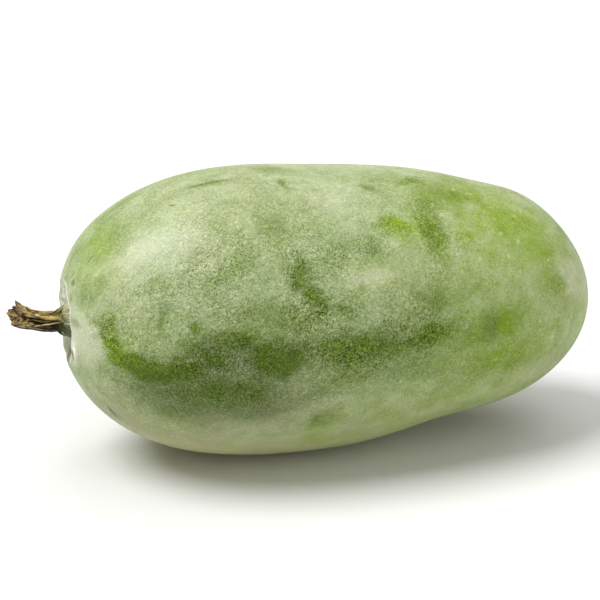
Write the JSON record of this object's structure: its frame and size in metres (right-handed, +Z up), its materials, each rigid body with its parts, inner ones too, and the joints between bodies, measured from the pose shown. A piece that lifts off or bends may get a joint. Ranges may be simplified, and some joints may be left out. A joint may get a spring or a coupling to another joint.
{
  "type": "ash gourd",
  "caption": "Whole ripe ash gourd with waxy, blotched pale green skin and a dry, torn stem stub, lying on its side on a small flat spot.",
  "frame": {"origin": "on the surface it lies on, under the middle of its box, stem included", "axes": "+X from the stem end to the blossom end, +Z up"},
  "size_m": [0.3948, 0.1958, 0.1899],
  "materials": {
    "waxy_rind": "green rind under a thin, powdery, grey-white wax bloom, rubbed off in darker green blotches; matte with a soft sheen",
    "dry_stem": "dry, fibrous, golden-olive to dark brown, with deep furrows and a rough torn end"
  },
  "bodies": {
    "root": {"gourd_fruit": "waxy_rind", "gourd_stem": "dry_stem"}
  },
  "joints": []
}
